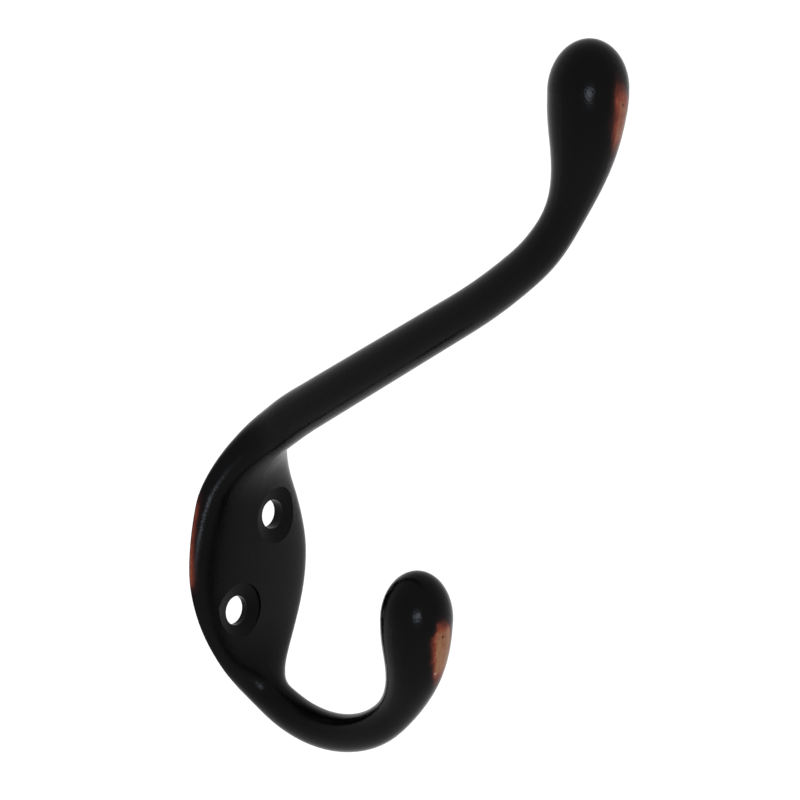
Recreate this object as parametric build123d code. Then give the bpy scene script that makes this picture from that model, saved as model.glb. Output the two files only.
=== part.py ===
from build123d import *
import math
import os

# Double wall hook, one casting: a leaf-shaped wall plate, a long upper prong that ends in a
# knob, and a short lower prong that turns up into a second knob. Millimetres and degrees.
# +Z is up, the wall is the plane Y = 0 and the hook stands out towards -Y. The origin is the
# middle of the plate's flat back, half way between the two screw holes.

# Wall plate: a leaf outline with a domed front and a flat back.
PLATE_HALF_WIDTH = 13.68
LEAF_REACH_UP = 31.2  # from the middle to where the leaf outline alone would close, upwards
LEAF_REACH_DOWN = 26.3  # the same, downwards
LEAF_POWER_UP = 1.72  # 2 draws that half of the outline as a parabola, less makes it pointed
LEAF_POWER_DOWN = 1.92
CROWN_UP = 3.6  # thickness on the centre line where the upper prong leaves the plate
CROWN_DOWN = 1.5  # the same at the lower prong
EDGE_FULLNESS_RATIO = 0.86  # how far the front rises straight up at the plate's edges
CROWN_FULLNESS_RATIO = 0.44  # how far it runs on flat beside the centre line
TRIM = 2.0  # metal behind the wall plane that the flat back takes off

# Screws: two countersunk holes on a diagonal of the plate.
SCREW_CIRCLE = 17.4  # diameter of the circle that both axes lie on
SCREW_ANGLE = 57.5  # of the upper hole above +X
SCREW_HOLE = 5.0
UPPER_SEAT = 2.05  # height over the wall at which the upper hole begins to open out
LOWER_SEAT = 1.2
SINK_RIM = 9.7  # width of the round recess about each hole
SINK_ANGLE = 150.0

# Upper prong, from the plate to its knob.
UPPER_START = 10.5  # height at which the centre line leaves the wall plane
UPPER_ROOT_BEND = 15.1
UPPER_RISE_ANGLE = 27.9  # slope of the straight arm
UPPER_ARM_LENGTH = 49.2
UPPER_EASE_BEND = 113.5  # gentle start of the bend up to the knob
UPPER_EASE_ANGLE = 8.2
UPPER_NECK_BEND = 31.9
UPPER_NECK_ANGLE = 42.8
UPPER_KNOB_BEND = 106.4  # gentle end of the same bend
UPPER_KNOB_ANGLE = 3.2
UPPER_SHANK_LENGTH = 1.6  # straight run up to the knob's widest place
UPPER_ROOT_RADIUS = 4.06
UPPER_NECK_RADIUS = 3.03
UPPER_KNOB_RADIUS = 5.99
UPPER_KNOB_FLARE = 22.1  # length over which the neck opens out to the knob
UPPER_KNOB_DOME = 7.6  # from the knob's widest place to its tip
UPPER_BLEND_START = 15.4  # where the plate's domed sections begin to turn round
UPPER_BLEND = 20.0  # length of centre line over which they do

# Lower prong, from the plate to its knob.
LOWER_START = 16.1  # depth below the middle at which the centre line leaves the wall plane
LOWER_ROOT_BEND = 9.1
LOWER_ROOT_ANGLE = 58.7
LOWER_BELLY_BEND = 23.4
LOWER_BELLY_ANGLE = 52.1
LOWER_NECK_BEND = 19.8
LOWER_NECK_ANGLE = 62.5
LOWER_SHANK_LENGTH = 5.4
LOWER_ROOT_RADIUS = 3.34
LOWER_NECK_RADIUS = 3.12
LOWER_KNOB_RADIUS = 5.91
LOWER_KNOB_FLARE = 20.2
LOWER_KNOB_DOME = 8.0
LOWER_BLEND_START = 10.7
LOWER_BLEND = 11.2

# How the skin is drawn.
STATION_STEP = 3.2  # widest gap between two sections along the centre line
SIDE_POWER = 5.0  # the higher, the sharper the leaf outline runs into the prongs' sides
ROUND_RATIO = 0.5523  # the fullness that makes a quarter of a circle
CUTTER_REACH = 5.0  # how far the hole cutters reach behind the wall and out from their seats

# The side view as a drawing plane: x is the distance out from the wall and y the height.
SIDE = Plane(origin=(0, 0, 0), x_dir=(0, -1, 0), z_dir=(-1, 0, 0))
UPWARDS = 1
DOWNWARDS = -1
HALF_TURN = 180
QUARTER_TURN = 90


def smooth_step(share):
    """0 below 0, 1 above 1, and an S-curve between."""
    share = min(max(share, 0), 1)
    return share * share * (3 - 2 * share)


def mix(first, second, share):
    """From the first value at share 0 to the second at share 1."""
    return first * (1 - share) + second * share


def smooth_max(first, second):
    """The larger of two widths, rounded off where they are about equal."""
    return (first**SIDE_POWER + second**SIDE_POWER) ** (1 / SIDE_POWER)


def leaf_half_width(height):
    """Half width of the leaf outline at a height above or below the middle."""
    reach = LEAF_REACH_UP if height > 0 else LEAF_REACH_DOWN
    power = LEAF_POWER_UP if height > 0 else LEAF_POWER_DOWN
    return PLATE_HALF_WIDTH * max(1 - (abs(height) / reach) ** power, 0)


def crown_height(height):
    """Thickness of the plate on its centre line, growing steadily towards the upper prong."""
    return mix(CROWN_DOWN, CROWN_UP, (height + LOWER_START) / (UPPER_START + LOWER_START))


def prong_radius(along, length, root, neck, knob, flare):
    """Radius along a prong: a straight taper to the neck, then a flare that ends at the knob."""
    taper = length - flare
    if along < taper:
        return mix(root, neck, max(along, 0) / taper)
    return mix(neck, knob, (1 - math.cos(math.pi * (along - taper) / flare)) / 2)


def upper_line():
    """Centre line from the plate's middle to the upper knob's widest place, in the side view."""
    plate = Line((0, 0), (0, UPPER_START))
    root = JernArc(plate @ 1, plate % 1, UPPER_ROOT_BEND, UPPER_RISE_ANGLE - QUARTER_TURN)
    arm = PolarLine(root @ 1, UPPER_ARM_LENGTH, direction=root % 1)
    ease = JernArc(arm @ 1, arm % 1, UPPER_EASE_BEND, UPPER_EASE_ANGLE)
    neck = JernArc(ease @ 1, ease % 1, UPPER_NECK_BEND, UPPER_NECK_ANGLE)
    knob = JernArc(neck @ 1, neck % 1, UPPER_KNOB_BEND, UPPER_KNOB_ANGLE)
    shank = PolarLine(knob @ 1, UPPER_SHANK_LENGTH, direction=knob % 1)
    return Wire([plate, root, arm, ease, neck, knob, shank])


def lower_line():
    """Centre line from the plate's middle to the lower knob's widest place, in the side view."""
    plate = Line((0, 0), (0, -LOWER_START))
    root = JernArc(plate @ 1, plate % 1, LOWER_ROOT_BEND, LOWER_ROOT_ANGLE)
    belly = JernArc(root @ 1, root % 1, LOWER_BELLY_BEND, LOWER_BELLY_ANGLE)
    neck = JernArc(belly @ 1, belly % 1, LOWER_NECK_BEND, LOWER_NECK_ANGLE)
    shank = PolarLine(neck @ 1, LOWER_SHANK_LENGTH, direction=neck % 1)
    return Wire([plate, root, belly, neck, shank])


def cross_plane(line, distance, heading=UPWARDS):
    """Plane across a centre line: x is the hook's X, and y faces away from the hook's inside."""
    point = line.position_at(distance, position_mode=PositionMode.LENGTH)
    ahead = line.tangent_at(distance, position_mode=PositionMode.LENGTH) * heading
    return Plane(SIDE.from_local_coords(point), x_dir=(1, 0, 0), z_dir=(0, -ahead.X, ahead.Y))


def domed_front(half_width, depth, blend):
    """The two quarters of a section that face out of the wall, as far round as the blend says."""
    edge = depth * mix(EDGE_FULLNESS_RATIO, ROUND_RATIO, blend)
    top = half_width * mix(CROWN_FULLNESS_RATIO, ROUND_RATIO, blend)
    near = Bezier((-half_width, 0), (-half_width, -edge), (-top, -depth), (0, -depth))
    far = Bezier((0, -depth), (top, -depth), (half_width, -edge), (half_width, 0))
    return near + far


def round_front(half_width, depth):
    """The same two quarters on a prong, where they are parts of an ellipse or a circle."""
    near = EllipticalCenterArc((0, 0), half_width, depth, HALF_TURN, arc_size=QUARTER_TURN)
    bottom = HALF_TURN + QUARTER_TURN
    return near + EllipticalCenterArc((0, 0), half_width, depth, bottom, arc_size=QUARTER_TURN)


def skin_section(line, distance, heading, radius, blend):
    """Cross-section of the casting: domed over a shallow back on the plate, round on a prong.

    On the plate the centre line is the wall, and the distance along it is the height.
    """
    height = distance * heading
    half_width = smooth_max(leaf_half_width(height), radius)
    back_depth = mix(TRIM, radius, blend)
    back = EllipticalCenterArc((0, 0), half_width, back_depth, 0, arc_size=HALF_TURN)
    depth = mix(crown_height(height), radius, blend)
    if blend < 1:
        front = domed_front(half_width, depth, blend)
    else:
        front = round_front(half_width, depth)
    return cross_plane(line, distance, heading) * make_face(back + front)


def upper_section(line, distance):
    """Section of the plate's upper half or of the upper prong."""
    radius = prong_radius(
        distance - UPPER_START,
        line.length - UPPER_START,
        UPPER_ROOT_RADIUS,
        UPPER_NECK_RADIUS,
        UPPER_KNOB_RADIUS,
        UPPER_KNOB_FLARE,
    )
    blend = smooth_step((distance - UPPER_BLEND_START) / UPPER_BLEND)
    return skin_section(line, distance, UPWARDS, radius, blend)


def lower_section(line, distance):
    """Section of the plate's lower half or of the lower prong."""
    radius = prong_radius(
        distance - LOWER_START,
        line.length - LOWER_START,
        LOWER_ROOT_RADIUS,
        LOWER_NECK_RADIUS,
        LOWER_KNOB_RADIUS,
        LOWER_KNOB_FLARE,
    )
    blend = smooth_step((distance - LOWER_BLEND_START) / LOWER_BLEND)
    return skin_section(line, distance, DOWNWARDS, radius, blend)


def stations(length):
    """Evenly spaced distances along a centre line, without the plate's middle."""
    count = math.ceil(length / STATION_STEP)
    return [length * step / count for step in range(1, count + 1)]


def knob_dome(line, radius, dome):
    """Rounded end of a knob, from its widest place to its tip."""
    arc = EllipticalCenterArc((0, 0), radius, dome, 0, arc_size=QUARTER_TURN)
    profile = make_face([Line((0, 0), arc @ 0), arc, Line(arc @ 1, (0, 0))])
    return cross_plane(line, line.length) * revolve(Plane.XZ * profile, Axis.Z)


def skin():
    """The casting before its back is cut flat: one skin from knob to knob, and the knob ends."""
    upper = upper_line()
    lower = lower_line()
    sections = [lower_section(lower, distance) for distance in reversed(stations(lower.length))]
    sections.append(upper_section(upper, 0))
    sections += [upper_section(upper, distance) for distance in stations(upper.length)]
    upper_dome = knob_dome(upper, UPPER_KNOB_RADIUS, UPPER_KNOB_DOME)
    lower_dome = knob_dome(lower, LOWER_KNOB_RADIUS, LOWER_KNOB_DOME)
    return loft(sections).fuse(upper_dome, lower_dome, glue=True)


def screw_cutter(seat):
    """What one countersunk screw hole takes out of the plate, its seat that high over the wall."""
    shank = SCREW_HOLE / 2
    rim = SINK_RIM / 2
    sink = (rim - shank) / math.tan(math.radians(SINK_ANGLE / 2))
    foot = (Align.CENTER, Align.CENTER, Align.MIN)
    bore = Pos(0, 0, -CUTTER_REACH) * Cylinder(shank, seat + CUTTER_REACH, align=foot)
    cone = Pos(0, 0, seat) * Cone(shank, rim, sink, align=foot)
    mouth = Pos(0, 0, seat + sink) * Cylinder(rim, CUTTER_REACH, align=foot)
    return Rot(QUARTER_TURN, 0, 0) * (bore + cone + mouth)


def hook():
    """The finished casting."""
    body = split(skin(), bisect_by=Plane.XZ, keep=Keep.TOP)
    x = SCREW_CIRCLE / 2 * math.cos(math.radians(SCREW_ANGLE))
    height = SCREW_CIRCLE / 2 * math.sin(math.radians(SCREW_ANGLE))
    body -= Pos(x, 0, height) * screw_cutter(UPPER_SEAT)
    return body - Pos(-x, 0, -height) * screw_cutter(LOWER_SEAT)


os.makedirs("parts", exist_ok=True)
export_step(hook(), "parts/hook.step")
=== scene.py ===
import math

import bpy
from mathutils import Matrix, Vector

# Double wall hook in a plain white studio. Metres and radians here; the node trees that paint
# the hook work in millimetres of its own frame: +Z up, the wall at Y = 0, the hook towards -Y.

# Camera: round to the hook's left, a little above it and tilted.
CAMERA_AZIMUTH = math.radians(-47)
CAMERA_ELEVATION = math.radians(12.766)
CAMERA_ROLL = math.radians(-3.769)
CAMERA_DISTANCE = 0.5
CAMERA_TARGET = Vector((0.02288, -0.01628, 0.02485))
LENS = 132.86  # in millimetres, like the sensor's width
SENSOR = 36
CLIP_START = 0.01
CLIP_END = 50

# Studio.
FLOOR_DEPTH = 0.32  # below the wall plate's middle
FLOOR_SIZE = 12.0
FLOOR_COLOR = (0.8, 0.8, 0.8, 1)
FLOOR_LIFT = 0.26  # what the floor needs on top of its lit colour to show white
SKY_LEVEL = 0.8  # world light on the hook from the sides
SKY_RISE = 0.3  # how steep a way has to be before its light grows towards ZENITH_LEVEL
ZENITH_LEVEL = 1.25  # world light from straight above
WHITE = (1, 1, 1, 1)

# Soft box: in front of the hook, to its left and level with it.
KEY_PLACE = Vector((-0.45, -0.466, 0.017))
KEY_AIM = Vector((0, -0.06, 0.035))
KEY_WIDTH = 0.17
KEY_HEIGHT = 0.125
KEY_RADIANCE = 26
KEY_COLOR = (0.76, 0.85, 1)

MM = 1000  # millimetres in a metre


class Tree:
    """Short way to write a node tree."""

    def __init__(self, tree):
        self.tree = tree
        tree.nodes.clear()

    def add(self, kind, inputs=(), **settings):
        """New node. An input is given by name or number, as a value or as an output to link."""
        node = self.tree.nodes.new(kind)
        for name, value in settings.items():
            setattr(node, name, value)
        for name, value in dict(inputs).items():
            if isinstance(value, bpy.types.NodeSocket):
                self.tree.links.new(value, node.inputs[name])
            else:
                node.inputs[name].default_value = value
        return node

    def math(self, operation, *values):
        """Output of a math node."""
        return self.add("ShaderNodeMath", enumerate(values), operation=operation).outputs[0]

    def vector(self, operation, *values):
        """Vector output of a vector math node."""
        node = self.add("ShaderNodeVectorMath", enumerate(values), operation=operation)
        return node.outputs["Vector"]

    def ramp(self, value, start, end, low=0.0, high=1.0):
        """S-curve from low, where the value is start, to high, where it is end."""
        places = {"Value": value, "From Min": start, "From Max": end, "To Min": low, "To Max": high}
        return self.add("ShaderNodeMapRange", places, interpolation_type="SMOOTHSTEP").outputs[0]

    def noise(self, place, size, detail=2.0):
        """Noise from 0 to 1 with features of a given size, in the place's own unit."""
        inputs = {"Vector": place, "Scale": 1 / size, "Detail": detail}
        return self.add("ShaderNodeTexNoise", inputs).outputs["Fac"]

    def colors(self, value, stops):
        """Colour ramp with the given stops."""
        node = self.add("ShaderNodeValToRGB", {"Fac": value})
        ramp = node.color_ramp
        while len(ramp.elements) < len(stops):
            ramp.elements.new(1)
        for element, (place, color) in zip(ramp.elements, stops):
            element.position = place
            element.color = (*color, 1)
        return node.outputs["Color"]


def camera_axes():
    """Right, up and back of the camera."""
    level = math.cos(CAMERA_ELEVATION)
    back = Vector((
        math.sin(CAMERA_AZIMUTH) * level,
        -math.cos(CAMERA_AZIMUTH) * level,
        math.sin(CAMERA_ELEVATION),
    ))
    side = Vector((math.cos(CAMERA_AZIMUTH), math.sin(CAMERA_AZIMUTH), 0))
    turn = Matrix.Rotation(CAMERA_ROLL, 3, back)
    right = turn @ side
    return right, back.cross(right), back


def add_camera():
    """Camera at the photograph's viewing angle."""
    data = bpy.data.cameras.new("camera")
    data.lens = LENS
    data.sensor_width = SENSOR
    data.clip_start = CLIP_START
    data.clip_end = CLIP_END
    camera = bpy.data.objects.new("camera", data)
    bpy.context.scene.collection.objects.link(camera)
    axes = camera_axes()
    camera.matrix_world = Matrix(axes).transposed().to_4x4()
    camera.location = CAMERA_TARGET + CAMERA_DISTANCE * axes[2]
    bpy.context.scene.camera = camera


def add_world():
    """Even light from all round, and a white background for camera, mirror and glass rays."""
    world = bpy.data.worlds.new("studio")
    bpy.context.scene.world = world
    world.use_nodes = True
    world.cycles.sampling_method = "NONE"  # so that Light Path tells gloss from matt light
    tree = Tree(world.node_tree)
    direction = tree.add("ShaderNodeTexCoord").outputs["Generated"]
    height = tree.add("ShaderNodeSeparateXYZ", {0: direction}).outputs["Z"]
    level = tree.ramp(height, SKY_RISE, 1.0, SKY_LEVEL, ZENITH_LEVEL)
    light = tree.add("ShaderNodeBackground", {"Color": WHITE, "Strength": level})
    white = tree.add("ShaderNodeBackground", {"Color": WHITE, "Strength": 1.0})
    rays = tree.add("ShaderNodeLightPath").outputs
    plain = tree.math("MAXIMUM", rays["Is Camera Ray"], rays["Is Transmission Ray"])
    seen = tree.math("MAXIMUM", plain, rays["Is Glossy Ray"])
    both = tree.add("ShaderNodeMixShader", {0: seen, 1: light.outputs[0], 2: white.outputs[0]})
    tree.add("ShaderNodeOutputWorld", {"Surface": both.outputs[0]})


def floor_material():
    """Pale matt floor that shows white where it is fully lit, and keeps the hook's shadow."""
    material = bpy.data.materials.new("floor")
    material.use_nodes = True
    tree = Tree(material.node_tree)
    rays = tree.add("ShaderNodeLightPath").outputs
    plain = tree.math("MAXIMUM", rays["Is Camera Ray"], rays["Is Transmission Ray"])
    seen = tree.math("MAXIMUM", plain, rays["Is Glossy Ray"])
    matt = tree.add("ShaderNodeBsdfDiffuse", {"Color": FLOOR_COLOR})
    lift = tree.add("ShaderNodeEmission",
                    {"Color": WHITE, "Strength": tree.math("MULTIPLY", seen, FLOOR_LIFT)})
    lit = tree.add("ShaderNodeAddShader", {0: matt.outputs[0], 1: lift.outputs[0]})
    tree.add("ShaderNodeOutputMaterial", {"Surface": lit.outputs[0]})
    return material


def add_floor():
    """Large floor below the hook."""
    half = FLOOR_SIZE / 2
    mesh = bpy.data.meshes.new("floor")
    corners = [(-half, -half, -FLOOR_DEPTH), (half, -half, -FLOOR_DEPTH),
               (half, half, -FLOOR_DEPTH), (-half, half, -FLOOR_DEPTH)]
    mesh.from_pydata(corners, [], [(0, 1, 2, 3)])
    mesh.materials.append(floor_material())
    floor = bpy.data.objects.new("floor", mesh)
    bpy.context.scene.collection.objects.link(floor)


def add_key_light():
    """Soft box that gives the knobs and the plate's edge their highlights."""
    data = bpy.data.lights.new("soft_box", "AREA")
    data.shape = "ELLIPSE"
    data.size = KEY_WIDTH
    data.size_y = KEY_HEIGHT
    data.energy = KEY_RADIANCE * math.pi * (math.pi / 4 * KEY_WIDTH * KEY_HEIGHT)
    data.color = KEY_COLOR
    lamp = bpy.data.objects.new("soft_box", data)
    bpy.context.scene.collection.objects.link(lamp)
    lamp.location = KEY_PLACE
    lamp.rotation_euler = (KEY_PLACE - KEY_AIM).to_track_quat("Z", "Y").to_euler()


# Rubbed-through places on the knobs, in millimetres: left and right side, top and foot, how soft
# each of the four is, how far the sides lean (right per millimetre down), the depth y at which
# the place begins, and how far the finish has gone.
UPPER_RUB = ((-0.95, 3.2), (83.5, 73.0), (1.3, 1.0, 2.4, 3.6), 0.1, -79.0, 0.88)
LOWER_RUB = ((-1.95, 3.1), (-3.9, -14.4), (1.0, 1.3, 1.9, 3.0), 0.1, -38.5, 1.06)
RUB_PINCH = 6.0  # how much narrower such a place gets towards its ends
RUB_PINCH_POWER = 3.0  # and how suddenly
RUB_FRONT_SOFT = 1  # how softly it begins at its depth

# Rubbed edge of the plate. Each is where it fades in, from and to, in millimetres.
EDGE_RUB_FROM_WALL = (-1.5, -0.2)
EDGE_RUB_OFF_BACK = (-0.02, -0.2)  # the flat back stays black
EDGE_RUB_FROM_TOP = (16.0, 11.5)
EDGE_RUB_FROM_FOOT = (-3.1, 0.4)
EDGE_RUB_FROM_MIDDLE = (8.5, 10.5)
EDGE_RUB_MOST = (9, 2, 0.74, 0.88)  # two heights, and how far the finish has gone at each

# Small flaws: middle and radius of each.
PITS = (((-0.2, -43.6, -6.3), 0.24), ((0.8, -84.6, 80.5), 0.2))
PIT_STRENGTH = -0.6  # how much of the rub a pit takes back
SPECK = ((-0.7, -42.1, -12.7), 0.24)
SPECK_COLOR = (0.3, 0.22, 0.17, 1)
DOT_SOFT = 0.4  # share of its radius over which a spot fades

# Where the gloss is duller: low on the plate's left, and in a spot under the upper prong.
DULL_FROM_RIGHT = (8, -2)
DULL_HALF = (17, 14, 0.0, 0.45)  # two heights, and how dull it is at each
DULL_FROM_ABOVE = (12.5, 5.5)
DULL_OFF_PRONG = (-24, -12)
DULL_OFF_WALL = (-0.4, -1.2)
CREVICE = ((-0.5, -8.0, 18.8), 3.3)

# Colour of the finish, from untouched (0) to rubbed through (1).
FINISH_STOPS = (
    (0.0, (0.0005, 0.0005, 0.0006)),
    (0.3, (0.012, 0.0035, 0.003)),
    (0.6, (0.085, 0.018, 0.011)),
    (0.8, (0.18, 0.037, 0.02)),
    (0.91, (0.2, 0.078, 0.037)),
    (1.0, (0.235, 0.109, 0.055)),
)

# Noise that makes the rubbed places uneven. Sizes are in millimetres, and levels are two values of
# the noise and what each becomes.
RAGGED_SCALE = 0.4
RAGGED_DETAIL = 4.0
RAGGED_STEP = (1.6, 0, 2.4)  # how far it moves their outlines, across and up
RAGGED_BACK = (-0.8, 0, -1.2)  # half a step back, so that they stay in place on average
STREAK_STRETCH = (1, 1, 0.15)
STREAK_SIZE = 0.7
STREAK_LEVELS = (0.3, 0.7, 0.86, 1.06)
MOTTLE_SIZE = 0.5
MOTTLE_LEVELS = (0.3, 0.7, 0.94, 1.04)
WEAR_DETAIL = 3.0

# Surface, with its sizes in millimetres.
GRAIN_SIZE = 0.35
GRAIN_HEIGHT = 0.00003  # in metres
SKIN_SIZE = 6.0
SKIN_ROUGHNESS = (0.3, 0.7, 0.185, 0.22)  # levels, as above
DULL_ROUGHNESS = 0.08  # on top of the skin's
COPPER_ROUGHNESS = 0.12  # on top of the skin's
COPPER_METALLIC = 0.25
SPECULAR_LEVEL = 0.07  # low, because all that the gloss mirrors is white
MIX_A, MIX_B, MIX_COLOR = 6, 7, 2  # colour sockets of a Mix node


def rubbed_patch(tree, place, sides, ends, soft, lean, front, most):
    """How far the finish is rubbed away on a knob's face, from 0 to most."""
    across, depth, height = tree.add("ShaderNodeSeparateXYZ", {0: place}).outputs
    down = tree.math("SUBTRACT", (ends[0] + ends[1]) / 2, height)
    across = tree.math("SUBTRACT", across, tree.math("MULTIPLY", down, lean))
    away = tree.math("ABSOLUTE", tree.math("DIVIDE", down, ends[0] - ends[1]))
    end = tree.math("POWER", away, RUB_PINCH_POWER)
    across = tree.math("MULTIPLY", across, tree.math("MULTIPLY_ADD", end, RUB_PINCH, 1.0))
    left = tree.ramp(across, sides[0] - soft[0], sides[0] + soft[0])
    right = tree.ramp(across, sides[1] + soft[1], sides[1] - soft[1])
    top = tree.ramp(height, ends[0] + soft[2], ends[0] - soft[2])
    foot = tree.ramp(height, ends[1] - soft[3], ends[1] + soft[3])
    face = tree.ramp(depth, front + RUB_FRONT_SOFT, front - RUB_FRONT_SOFT, 0.0, most)
    width = tree.math("MULTIPLY", left, right)
    length = tree.math("MULTIPLY", top, foot)
    return tree.math("MULTIPLY", tree.math("MULTIPLY", width, length), face)


def rubbed_edge(tree, place):
    """How far the finish is rubbed away along the plate's side edges."""
    across, depth, height = tree.add("ShaderNodeSeparateXYZ", {0: place}).outputs
    near_wall = tree.math("MULTIPLY", tree.ramp(depth, *EDGE_RUB_FROM_WALL),
                          tree.ramp(depth, *EDGE_RUB_OFF_BACK))
    span = tree.math("MULTIPLY", tree.ramp(height, *EDGE_RUB_FROM_TOP),
                     tree.ramp(height, *EDGE_RUB_FROM_FOOT))
    side = tree.ramp(tree.math("ABSOLUTE", across), *EDGE_RUB_FROM_MIDDLE)
    inside = tree.math("MULTIPLY", tree.math("MULTIPLY", near_wall, span), side)
    return tree.math("MULTIPLY", inside, tree.ramp(height, *EDGE_RUB_MOST))


def dot(tree, place, middle, radius):
    """1 in a round spot, 0 outside it."""
    away = tree.add("ShaderNodeVectorMath", {0: place, 1: middle}, operation="DISTANCE")
    return tree.ramp(away.outputs["Value"], radius * (1 + DOT_SOFT), radius * (1 - DOT_SOFT))


def dulled(tree, place):
    """How far the gloss is dulled, from 0 to 1."""
    across, depth, height = tree.add("ShaderNodeSeparateXYZ", {0: place}).outputs
    left = tree.ramp(across, *DULL_FROM_RIGHT)
    low = tree.math("MAXIMUM", tree.ramp(height, *DULL_HALF), tree.ramp(height, *DULL_FROM_ABOVE))
    face = tree.math("MULTIPLY", tree.ramp(depth, *DULL_OFF_PRONG),
                     tree.ramp(depth, *DULL_OFF_WALL))
    plate = tree.math("MULTIPLY", tree.math("MULTIPLY", left, low), face)
    return tree.math("MAXIMUM", plate, dot(tree, place, *CREVICE))


def bronze_material():
    """Near-black satin finish, rubbed through to copper where hands and cloth reach."""
    material = bpy.data.materials.new("dark_bronze")
    material.use_nodes = True
    tree = Tree(material.node_tree)
    metres = tree.add("ShaderNodeTexCoord").outputs["Object"]
    place = tree.add("ShaderNodeVectorMath", {0: metres, "Scale": MM}, operation="SCALE").outputs[0]
    cloud = tree.add("ShaderNodeTexNoise",
                     {"Vector": place, "Scale": RAGGED_SCALE, "Detail": RAGGED_DETAIL})
    shift = tree.vector("MULTIPLY_ADD", cloud.outputs["Color"], RAGGED_STEP, RAGGED_BACK)
    ragged = tree.vector("ADD", place, shift)
    wear = tree.math("MAXIMUM", rubbed_patch(tree, ragged, *UPPER_RUB),
                     rubbed_patch(tree, ragged, *LOWER_RUB))
    wear = tree.math("MAXIMUM", wear, rubbed_edge(tree, ragged))
    drawn = tree.vector("MULTIPLY", place, STREAK_STRETCH)
    streaks = tree.ramp(tree.noise(drawn, STREAK_SIZE, WEAR_DETAIL), *STREAK_LEVELS)
    mottle = tree.ramp(tree.noise(place, MOTTLE_SIZE, WEAR_DETAIL), *MOTTLE_LEVELS)
    wear = tree.math("MULTIPLY", wear, tree.math("MULTIPLY", streaks, mottle))
    pits = tree.math("MAXIMUM", *[dot(tree, place, *pit) for pit in PITS])
    wear = tree.math("MULTIPLY", wear, tree.math("MULTIPLY_ADD", pits, PIT_STRENGTH, 1.0))
    colors = {"Factor": dot(tree, place, *SPECK), MIX_A: tree.colors(wear, FINISH_STOPS),
              MIX_B: SPECK_COLOR}
    color = tree.add("ShaderNodeMix", colors, data_type="RGBA").outputs[MIX_COLOR]
    skin = tree.ramp(tree.noise(place, SKIN_SIZE), *SKIN_ROUGHNESS)
    skin = tree.math("MULTIPLY_ADD", dulled(tree, place), DULL_ROUGHNESS, skin)
    roughness = tree.math("MULTIPLY_ADD", wear, COPPER_ROUGHNESS, skin)
    bump = tree.add("ShaderNodeBump", {"Height": tree.noise(place, GRAIN_SIZE), "Strength": 1.0,
                                       "Distance": GRAIN_HEIGHT})
    shader = tree.add("ShaderNodeBsdfPrincipled", {
        "Base Color": color,
        "Metallic": tree.math("MULTIPLY", wear, COPPER_METALLIC),
        "Roughness": roughness,
        "Specular IOR Level": SPECULAR_LEVEL,
        "Normal": bump.outputs[0],
    })
    tree.add("ShaderNodeOutputMaterial", {"Surface": shader.outputs[0]})
    return material


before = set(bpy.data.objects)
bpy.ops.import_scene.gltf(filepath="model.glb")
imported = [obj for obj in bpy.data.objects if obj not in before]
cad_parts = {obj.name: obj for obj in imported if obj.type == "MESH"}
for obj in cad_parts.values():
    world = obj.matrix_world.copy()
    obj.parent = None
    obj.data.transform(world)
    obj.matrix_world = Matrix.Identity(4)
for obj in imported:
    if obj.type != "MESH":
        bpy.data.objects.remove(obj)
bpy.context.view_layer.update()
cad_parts["hook"].material_slots[0].material = bronze_material()
add_camera()
add_world()
add_floor()
add_key_light()
bpy.context.scene.view_settings.view_transform = "Standard"
